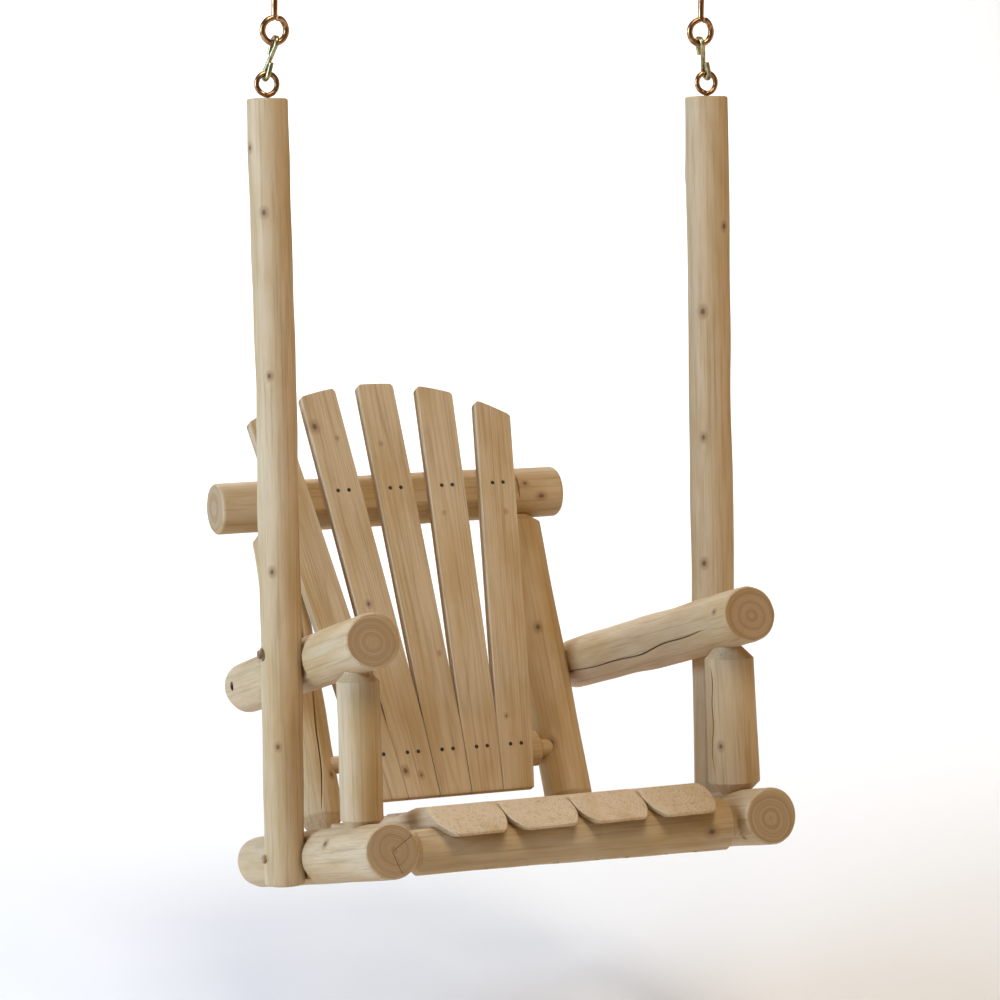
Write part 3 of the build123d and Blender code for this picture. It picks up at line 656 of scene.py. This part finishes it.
def board_grid(node):
    """A board's section carried up between the two edges of the CAD outline.

    Each point of the section keeps its share of the width all the way up, and stops where the
    top arc stands at its own place; both ends close on the middle of the thickness.
    """
    points = cad_points(node)
    depth = points @ slat_normal
    thick = depth.max() - depth.min()
    flat = np.stack([points[:, 0], points @ slat_up], 1)[depth < depth.min() + cad_slack]
    hull = flat[convex_hull_2d([Vector(p) for p in flat])]
    foot, top = hull[:, 1].min(), hull[:, 1].max()
    arch = hull[hull[:, 1] > top - top_reach]
    arch = arch[arch[:, 0].argsort()]
    low = hull[hull[:, 1] <= top - top_reach]
    low = low[low[:, 1].argsort()]
    chord = np.interp(low[:, 1], [foot, top], [low[:2, 0].mean(), arch[[0, -1], 0].mean()])
    left = np.vstack([low[low[:, 0] < chord], arch[:1]])
    right = np.vstack([low[low[:, 0] >= chord], arch[-1:]])
    turn = np.linspace(0, np.pi / 2, 5)
    rise, fall = 1 - np.cos(turn), 1 - np.sin(turn)
    on_left, on_right, on_face = 0 * turn, 0 * turn + 1, 0 * board_share
    share = np.concatenate([on_left, board_share, on_right, on_right, board_share[::-1], on_left])
    inset = board_edge * np.concatenate([rise, on_face, -rise, -fall, on_face, rise])
    from_face = np.concatenate([
        board_edge * fall, on_face, board_edge * rise,
        thick - board_edge * fall, on_face + thick, thick - board_edge * rise,
    ])
    wide = arch[-1, 0] - arch[0, 0]
    ceiling = np.interp(arch[0, 0] + wide * share + inset, arch[:, 0], arch[:, 1])
    rows = np.linspace(0, 1, 150)[1:-1, None]
    s = foot + 0.002 + rows * (ceiling - foot - 0.004)
    ends = np.array([0.0, 0.0, 0.0004, 0.0012])[:, None]
    s = np.vstack([foot + ends + 0 * ceiling, s, ceiling - ends[::-1]])
    squeeze = np.concatenate([[0.0, 0.86, 0.95, 1.0], np.ones(len(rows)), [1.0, 0.95, 0.86, 0.0]])[:, None]
    left_x = np.interp(s, left[:, 1], left[:, 0])
    right_x = np.interp(s, right[:, 1], right[:, 0])
    x = left_x + (right_x - left_x) * share + inset
    d = depth.max() - thick / 2 - (from_face - thick / 2) * squeeze
    grid = x[..., None] * sideways + s[..., None] * slat_up + d[..., None] * slat_normal
    return grid, s, x - (left_x + right_x) / 2


crest_level = (cad_points("crest_rail") @ slat_up).mean()
for number, pith in board_pith.items():
    node = f"back_slat_{number}"
    grid, level_up, across = board_grid(node)
    knot = np.full(level_up.shape, no_mark)
    for knot_x, knot_s, size in board_knots.get(number, ()):
        gap = np.hypot(across - knot_x, (level_up - crest_level - knot_s) / 1.3) / size
        knot = np.minimum(knot, gap)
    start, end = grid[0].mean(0), grid[-1].mean(0)
    along = (end - start) / np.linalg.norm(end - start)
    axes = Matrix((Vector(np.cross(slat_normal, along)), Vector(slat_normal), Vector(along))).transposed()
    piece = put_mesh("wood_" + node, grid, {"knot": knot, "check": np.full(knot.shape, no_mark)})
    material = cedar("cedar_" + node, start, axes, 0.3, pith, board_ring, 0.61 * number, -0.04, 0.6)
    finish_piece(piece, "swing", "sawn_cedar", material, node)

# ---------------------------------------------------------------- seat slats
# Half logs with the sawn face up.  The nose is sawn to a slope, the seat is hollowed behind a
# flat, the underside is coped over both rails, and the outer two are notched at the uprights.
seat_round = 0.004
seat_ring = 0.0042
cope_gap = 0.0002
seat_pith = {1: -0.006, 2: 0.004, 3: 0.0, 4: -0.004}


def seat_grid(node):
    """A half log's section carried back from its tip: the CAD edges give its height and width.

    The sides keep the half log's curve up to the height of the top at each place; the top edges
    are rounded, the underside rises over the rails, and the rear is cut back at the notch.
    """
    points = cad_points(node)
    along, up = rail_run, seat_up
    s, h = points @ along, points @ up
    s0, h0 = s.min(), h.min()
    near = 1e-4
    tip = points[s < s0 + near]
    centre = (tip[:, 0].min() + tip[:, 0].max()) / 2
    s, h, x = s - s0, h - h0, points[:, 0] - centre
    length, tall = s.max(), h.max()
    nose, flat_end = s[h > tall - near].min(), s[h > tall - near].max()
    tip_h, rear_h = h[s < near].max(), h[s > length - near].max()
    edge = (s < nose) & (np.abs(h - np.interp(s, [0, nose], [tip_h, tall])) < cad_slack) & (np.abs(x) > 0.03)
    order = h[edge].argsort()
    edge_x = np.abs(x[edge][order])
    side_h = np.concatenate([[0], h[edge][order], [tall]])
    side_x = np.concatenate([[np.abs(x[(s < near) & (h < near)]).max()], edge_x, edge_x[-1:]])
    share = (s - flat_end) / (length - flat_end)
    inner = (share > 0.15) & (share < 0.85)
    chord = tall + share * (rear_h - tall)
    sag = ((chord - h)[inner] / (4 * share * (1 - share))[inner]).min()
    rear = points[s > length - near]
    notch_low, notch_high = rear[:, 0].min() - centre, rear[:, 0].max() - centre
    shoulders = [s[(np.abs(x - at) < cad_slack) & (s > length - 0.1)].min() for at in (notch_low, notch_high)]
    steps = [at + step for at in shoulders for step in (-shoulder_step, shoulder_step)]
    rows = np.unique(np.concatenate([np.linspace(0, length, 150), [nose, flat_end], steps]))
    rows = rows[(rows > 0.0012) & (rows < length - 0.0012)]
    ends = np.array([0.0, 0.0, 0.0004, 0.0012])
    s_rows = np.concatenate([ends, rows, length - ends[::-1]])
    scale = np.concatenate([[0.0, 0.9, 0.97, 1.0], np.ones(len(rows)), [1.0, 0.97, 0.9, 0.0]])[:, None]
    share = np.clip((s_rows - flat_end) / (length - flat_end), 0, 1)
    scoop = tall + share * (rear_h - tall) - 4 * sag * share * (1 - share)
    top = np.where(s_rows < nose, np.interp(s_rows, [0, nose], [tip_h, tall]), scoop)[:, None]
    ease = np.minimum(seat_round, 0.35 * top)
    turn = np.linspace(0, np.pi / 2, 6)
    climb = np.linspace(0, 1, 15)[None, :]
    lift = np.concatenate([climb * (top - ease), top - ease * (1 - np.sin(turn[1:]))], axis=1)
    lean = np.concatenate([0 * climb + 0 * top, -ease * (1 - np.cos(turn[1:]))], axis=1)
    half = np.interp(lift, side_h, side_x) + lean
    over = np.linspace(1, -1, 25)[None, 1:-1]
    under = np.linspace(-1, 1, 13)[None, 1:-1]
    ring_x = np.concatenate([half, over * half[:, -1:], -half[:, ::-1], under * half[:, :1]], axis=1)
    ring_h = np.concatenate([lift, 0 * over + top, lift[:, ::-1], 0 * under + 0 * top], axis=1)
    ring_h = top / 2 + (ring_h - top / 2) * scale
    ring_x = ring_x * scale
    s_grid = s_rows[:, None] + 0 * ring_x
    ring_h += 0.00025 * np.sin(70 * s_grid + 3 * ring_x / 0.06) * scale
    for rail in ("front_rail", "rear_rail"):
        start, axis, ring_s, ring_r = turned_outline(cad_points(rail))
        middle_s, middle_h = start @ along - s0, start @ up - h0
        radius = np.interp(ring_x + centre, start[0] + ring_s * axis[0], ring_r) + cope_gap
        cope = middle_h + np.sqrt(np.clip(radius**2 - (s_grid - middle_s) ** 2, 0, None))
        raised = np.maximum(ring_h, np.minimum(cope, ring_h.max()))
        ring_h = np.where(np.abs(s_grid - middle_s) < radius, raised, ring_h)
    ring_x = np.where((s_grid > shoulders[0]) & (ring_x < notch_low), notch_low, ring_x)
    ring_x = np.where((s_grid > shoulders[1]) & (ring_x > notch_high), notch_high, ring_x)
    origin = np.array([centre, 0, 0]) + along * s0 + up * h0
    grid = origin + ring_x[..., None] * sideways + s_grid[..., None] * along + ring_h[..., None] * up
    return grid, origin, tall


seat_surface = []
seat_axes = Matrix((Vector(np.cross(seat_up, rail_run)), Vector(seat_up), Vector(rail_run))).transposed()
for number, pith_x in seat_pith.items():
    node = f"seat_slat_{number}"
    grid, origin, tall = seat_grid(node)
    seat_surface.append(grid.reshape(-1, 3))
    blank = np.full(grid.shape[:2], no_mark)
    piece = put_mesh("wood_" + node, grid, {"knot": blank, "check": blank}, sharp=40)
    pith = (pith_x, -tall - 0.004)
    material = cedar("cedar_" + node, origin, seat_axes, 0.075, pith, seat_ring, 1.7 * number, -0.06, 0.55)
    finish_piece(piece, "swing", "sawn_cedar", material, node)

# ---------------------------------------------------------------- screws in the wood
# Countersunk screws of dark steel with a cross recess, driven in level with the wood.  Those
# of the arms and of the seat's front end lie at the bottom of a bored hole.
head_rim = 0.0034
proud = 0.0006
cross_turn = 0.4


def screw_heads(name, places, direction, rim):
    """Flat discs whose middle sinks in a cross: depth falls with the distance from each arm's line."""
    first = np.cross(direction, [0.6, 0.8, 0.0])
    first /= np.linalg.norm(first)
    second = np.cross(direction, first)
    theta = np.linspace(0, 2 * np.pi, 48, endpoint=False)[None, :]
    r = rim * np.array([0, 0.12, 0.24, 0.36, 0.48, 0.6, 0.72, 0.84, 0.92, 1.0, 1.0, 0.0])[:, None]
    drop = np.array([0, 0, 0, 0, 0, 0, 0, 0, 0, 0.0003, 0.002, 0.002])[:, None]
    a, b = r * np.cos(theta + cross_turn), r * np.sin(theta + cross_turn)
    arm = np.minimum(np.abs(a), np.abs(b))
    recess = np.clip(1 - arm / (0.22 * rim), 0, 1) * (r < 0.62 * rim) * (drop == 0)
    height = -drop - 0.12 * rim * recess
    head = a[..., None] * first + b[..., None] * second + height[..., None] * direction
    joined = bmesh.new()
    for place in places:
        one = put_mesh(name + "_one", head + place)
        joined.from_mesh(one.data)
        bpy.data.objects.remove(one)
    mesh = bpy.data.meshes.new(name)
    joined.to_mesh(mesh)
    joined.free()
    mesh.set_sharp_from_angle(angle=np.radians(35))
    piece = bpy.data.objects.new(name, mesh)
    bpy.context.scene.collection.objects.link(piece)
    return piece


def metal(name, base, worn, rough, metallic=1.0):
    """Metal in two tints mixed by cloudy wear, which roughens it too, with fine specks in height."""
    material = bpy.data.materials.new(name)
    material.use_nodes = True
    tree = material.node_tree
    shader = tree.nodes["Principled BSDF"]
    own = add_node(tree, "TexCoord").outputs["Object"]
    wear = grain_noise(tree, own, (110, 110, 110), 4.0).outputs["Fac"]
    speck = grain_noise(tree, own, (420, 420, 420), 2.0).outputs["Fac"]
    colour = blend_colour(tree, ramp(tree, wear, 0.38, 0.66), base, worn)
    tree.links.new(colour, shader.inputs["Base Color"])
    tree.links.new(calc(tree, "MULTIPLY_ADD", wear, 0.25, rough), shader.inputs["Roughness"])
    shader.inputs["Metallic"].default_value = metallic
    bump = add_node(tree, "Bump", Strength=0.35, Distance=0.0002, Height=speck)
    tree.links.new(bump.outputs[0], shader.inputs["Normal"])
    return material


screw_steel = metal("screw_steel", (0.03, 0.024, 0.02, 1), (0.06, 0.045, 0.032, 1), 0.5, 0.3)
places = head_centres("back_slat_screws", slat_normal, screw_rim)
flush = slat_normal * (cad_points("back_slat_3") @ slat_normal).max()
places = [place + slat_normal * ((flush - place) @ slat_normal + proud) for place in places]
heads = screw_heads("back_screws", places, slat_normal, head_rim)
finish_piece(heads, "swing", "screw_steel", screw_steel, "back_slat_screws")

seat_surface = np.concatenate(seat_surface)
places = []
for place in head_centres("seat_slat_screws", seat_up, screw_rim):
    above = (seat_surface - place) @ seat_up
    apart = np.linalg.norm(seat_surface - place - above[:, None] * seat_up, axis=1)
    apart[above < -0.012] = 1.0
    places.append(place + seat_up * (above[apart.argmin()] + proud))
heads = screw_heads("seat_rear_screws", places, seat_up, head_rim)
finish_piece(heads, "swing", "screw_steel", screw_steel, "seat_slat_screws")

places = [place - proud * seat_up for place in head_centres("seat_slat_screws", -seat_up, screw_rim)]
heads = screw_heads("seat_front_screws", places, -seat_up, screw_rim)
finish_piece(heads, "swing", "screw_steel", screw_steel)

for side_name, sign, nodes in (("left", -1, ("arm_screws",)), ("right", 1, ())):
    outward = np.array([sign, 0.0, 0.0])
    places = [place + proud * outward for place in head_centres("arm_screws", outward, arm_screw_rim)]
    heads = screw_heads("arm_screw_" + side_name, places, outward, arm_screw_rim)
    finish_piece(heads, "swing", "screw_steel", screw_steel, *nodes)

# ---------------------------------------------------------------- screw eyes
# Each eye is one wire: a shank in the wood, a plain neck, and a ring bent round until its end
# meets the neck.  The upper pair carry a coppery finish and so do the two in the posts.
wire_columns = 28
wire_step = 0.0011
wire_share = 0.95
neck_gap = 0.0005


def tube(name, path, radius, thread=None):
    """A round wire along a path, its frame carried without twist and both ends domed.

    A thread (from, to, pitch, depth) adds a ridge whose place turns with the distance along.
    """
    path = np.asarray(path, float)
    step = np.linalg.norm(np.diff(path, axis=0), axis=1)
    distance = np.concatenate([[0], np.cumsum(step)])
    even = np.arange(0, distance[-1], wire_step)
    path = np.stack([np.interp(even, distance, path[:, k]) for k in range(3)], 1)
    tangent = np.gradient(path, axis=0)
    tangent /= np.linalg.norm(tangent, axis=1)[:, None]
    normal = np.linalg.svd(path - path.mean(0))[2][2]
    first = np.broadcast_to(normal, path.shape)
    first = first - (first * tangent).sum(1)[:, None] * tangent
    first /= np.linalg.norm(first, axis=1)[:, None]
    second = np.cross(tangent, first)
    theta = np.linspace(0, 2 * np.pi, wire_columns, endpoint=False)[None, :]
    size = np.broadcast_to(radius, even.shape)[:, None] * np.ones_like(theta)
    if thread:
        begin, stop, pitch, depth = thread
        turn = (even[:, None] / pitch - theta / (2 * np.pi)) % 1
        ridge = np.abs(2 * turn - 1) ** 1.5 * depth
        size = size + ridge * ((even > begin) & (even < stop))[:, None]
    dome = np.linspace(0, np.pi / 2, 6)[:-1]
    cap = np.sin(dome)[:, None]
    lead = 0.35 * size[0, 0] * (1 - np.cos(dome))[:, None, None]
    tail = 0.35 * size[-1, 0] * (1 - np.cos(dome))[:, None, None]
    around_ring = np.cos(theta)[..., None] * first[:, None] + np.sin(theta)[..., None] * second[:, None]
    body = path[:, None] + size[..., None] * around_ring
    front = path[0] + (cap * size[:1])[..., None] * around_ring[:1] + (lead - 0.35 * size[0, 0]) * tangent[0]
    over_end = (tail - 0.35 * size[-1, 0]) * tangent[-1]
    back = path[-1] + (cap * size[-1:])[..., None] * around_ring[-1:] - over_end
    return put_mesh(name, np.concatenate([front, body, back[::-1]]), sharp=50)


def eye_path(shank_end, neck, middle, ring, turn, end_turn, aside):
    """A shank that comes down its axis, swings out to one side and runs round the ring.

    A cubic curve leads the wire off its axis and into the ring.  Near its end the wire moves
    aside, so that it lies across the neck.
    """
    down = (middle - neck) / np.linalg.norm(middle - neck)
    shank = np.linspace(shank_end, neck, 40)
    sweep = np.radians(np.linspace(22, end_turn, 240))
    lift = np.clip((np.degrees(sweep) - end_turn + 75) / 60, 0, 1)[:, None] ** 2 * aside
    circle = middle - ring * np.cos(sweep)[:, None] * down + ring * np.sin(sweep)[:, None] * sideways * turn
    gap = np.linalg.norm(circle[0] - neck)
    p0, p1 = neck, neck + down * gap * 0.55
    heading = (circle[1] - circle[0]) / np.linalg.norm(circle[1] - circle[0])
    p2, p3 = circle[0] - heading * gap * 0.45, circle[0]
    t = np.linspace(0, 1, 24)[1:-1, None]
    bend = (1 - t) ** 3 * p0 + 3 * (1 - t) ** 2 * t * p1 + 3 * (1 - t) * t**2 * p2 + t**3 * p3
    return np.vstack([shank, bend, circle + lift * np.array([0.0, -1.0, 0.0])])


copper = metal("copper_plate", (0.56, 0.32, 0.16, 1), (0.30, 0.15, 0.07, 1), 0.14)
for side_name in ("left", "right"):
    node = "ceiling_eye_" + side_name
    points = cad_points(node)
    low, high = points.min(0), points.max(0)
    ring_x = points[points[:, 2] < -0.004, 0]
    outer = (ring_x.max() - ring_x.min()) / 2
    wire = (high[1] - low[1]) / 2
    middle = np.array([(low[0] + high[0]) / 2, 0, low[2] + outer])
    neck = middle + [0, 0, outer + neck_gap]
    shank_end = middle * [1, 1, 0] + [0, 0, high[2]]
    path = eye_path(shank_end, neck, middle, outer - wire, -1.0, 362, 1.9 * wire)
    piece = tube("eye_top_" + side_name, path, wire * wire_share, thread=(0.004, 0.045, 0.0028, 0.0006))
    finish_piece(piece, "ceiling_mounts", "coppered_eye", copper, node)

    node = "post_eye_" + side_name
    points = cad_points(node)
    start, axis = turned_outline(cad_points("hanger_post_" + side_name))[:2]
    reach = points @ axis
    ring_top = reach.max()
    outer = (points[:, 0].max() - points[:, 0].min()) / 2
    centre_x = (points[:, 0].max() + points[:, 0].min()) / 2
    backward = np.cross(axis, sideways)
    depth = start @ backward
    wire = np.abs(points[reach > ring_top - outer] @ backward - depth).max()
    middle = np.array([centre_x, 0, 0]) + backward * depth + axis * (ring_top - outer)
    neck = middle - axis * (outer + neck_gap)
    shank_end = middle - axis * (ring_top - outer - reach.min())
    path = eye_path(shank_end, neck, middle, outer - wire, 1.0, 352, 0.9 * wire)
    piece = tube("eye_post_" + side_name, path, wire * wire_share, thread=(0.0, 0.05, 0.0026, 0.0005))
    finish_piece(piece, "swing", "coppered_eye", copper, node)

# ---------------------------------------------------------------- S-hooks
# Round wire bent to an S, zinc plated and passivated yellow.  It hangs from the upper ring and
# carries the lower one; both tails point back along the leg.
zinc = metal("yellow_zinc", (0.52, 0.43, 0.20, 1), (0.26, 0.24, 0.15, 1), 0.2)
tail_trim = 0.001
forward = np.array([0.0, 1.0, 0.0])
pivots = {joint["name"]: np.array(joint["pos_m"], float) for joint in frame["joints"]}
for side_name, sign in (("left", -1), ("right", 1)):
    upper = pivots["left_hook_swing"] * [-sign, 1, 1]
    lower = pivots["seat_swing"] * [-sign, 1, 1]
    points = cad_points("s_hook_" + side_name)
    up = (upper - lower) / np.linalg.norm(upper - lower)
    flat_side = np.cross(forward, up)
    wire = np.abs((points - upper) @ flat_side).max()
    bend_radius = (points[:, 1].max() - points[:, 1].min()) / 2 - wire
    gap = np.linalg.norm(upper - lower)
    reach = (points - upper) @ up
    tail = -reach[(points[:, 1] > 0.5 * points[:, 1].max()) & (reach > -gap / 2)].min()
    slant = np.arcsin(2 * bend_radius / gap)
    turn = np.linspace(0, np.pi + slant, 60)
    upper_bend = np.stack([bend_radius * np.cos(turn), bend_radius * np.sin(turn)], 1)
    lower_bend = np.stack([-bend_radius * np.cos(turn), -gap - bend_radius * np.sin(turn)], 1)[::-1]
    flat = np.vstack([
        [bend_radius, -tail + tail_trim], [bend_radius, -0.5 * tail], upper_bend, lower_bend,
        [-bend_radius, -gap + 0.5 * tail], [-bend_radius, -gap + tail - tail_trim],
    ])
    path = upper + flat[:, :1] * forward + flat[:, 1:] * up
    piece = tube("hook_" + side_name, path, wire)
    finish_piece(piece, side_name + "_hook", "yellow_zinc", zinc, "s_hook_" + side_name)

# ---------------------------------------------------------------- lag screws
# Hexagon heads with a turned chamfer on round washers, four in all, drawn into the logs.
# Each is zinc plated and holds a hanger post to the armrest or to the side rail.
bright_zinc = metal("fastener_zinc", (0.42, 0.30, 0.16, 1), (0.2, 0.14, 0.09, 1), 0.26)
lag_chamfer = 0.0009
washer_ease = 0.0003


def lag_head(name, centre, direction, hexagon, head, washer, under):
    """A head on its washer, turned about its axis: rings of a radius, each dropped from the top.

    The hexagon's radius is its inscribed one over the cosine of the angle from the nearest flat.
    """
    theta = np.linspace(0, 2 * np.pi, 96, endpoint=False)[None, :]
    corner = hexagon / np.cos((theta + np.pi / 6) % (np.pi / 3) - np.pi / 6)
    middle = 0 * theta
    r = np.vstack([
        middle, middle + 0.55 * hexagon, middle + 0.93 * hexagon, np.minimum(corner, 1.06 * hexagon),
        corner, corner, middle + 0.93 * washer, middle + washer, middle + washer, middle,
    ])
    drop = np.array([
        0, 0, 0, 0.4 * lag_chamfer, lag_chamfer, head, head, head + washer_ease, head + under, head + under,
    ])[:, None] * np.ones_like(theta)
    up = np.array([0.0, 0.0, 1.0])
    other = np.cross(direction, up)
    around_axis = (r * np.cos(theta))[..., None] * up + (r * np.sin(theta))[..., None] * other
    return put_mesh(name, centre - drop[..., None] * direction + around_axis, sharp=25)


lag_points, washer_points = cad_points("lag_screws"), cad_points("lag_washers")
split = (lag_points[:, 2].max() + lag_points[:, 2].min()) / 2
for side_name, sign in (("left", -1), ("right", 1)):
    for log_name, upper_row in (("arm", True), ("rail", False)):
        screw, disc = (
            points[(points[:, 0] * sign > 0) & ((points[:, 2] > split) == upper_row)]
            for points in (lag_points, washer_points)
        )
        out, rim = (screw[:, 0] * sign).max(), (disc[:, 0] * sign).max()
        centre = np.array([sign * out, disc[:, 1].mean(), (disc[:, 2].min() + disc[:, 2].max()) / 2])
        washer = (disc[:, 2].max() - disc[:, 2].min()) / 2
        top_ring = screw[screw[:, 0] * sign > out - 1e-4]
        hexagon = (top_ring[:, 1].max() - top_ring[:, 1].min()) / 2 * np.cos(np.pi / 6)
        under = rim - (disc[:, 0] * sign).min()
        label = f"lag_{side_name}_{log_name}"
        piece = lag_head(label, centre, np.array([sign, 0.0, 0.0]), hexagon, out - rim, washer, under)
        nodes = ("lag_screws", "lag_washers") if label == "lag_left_arm" else ()
        finish_piece(piece, "swing", "zinc_fastener", bright_zinc, *nodes)
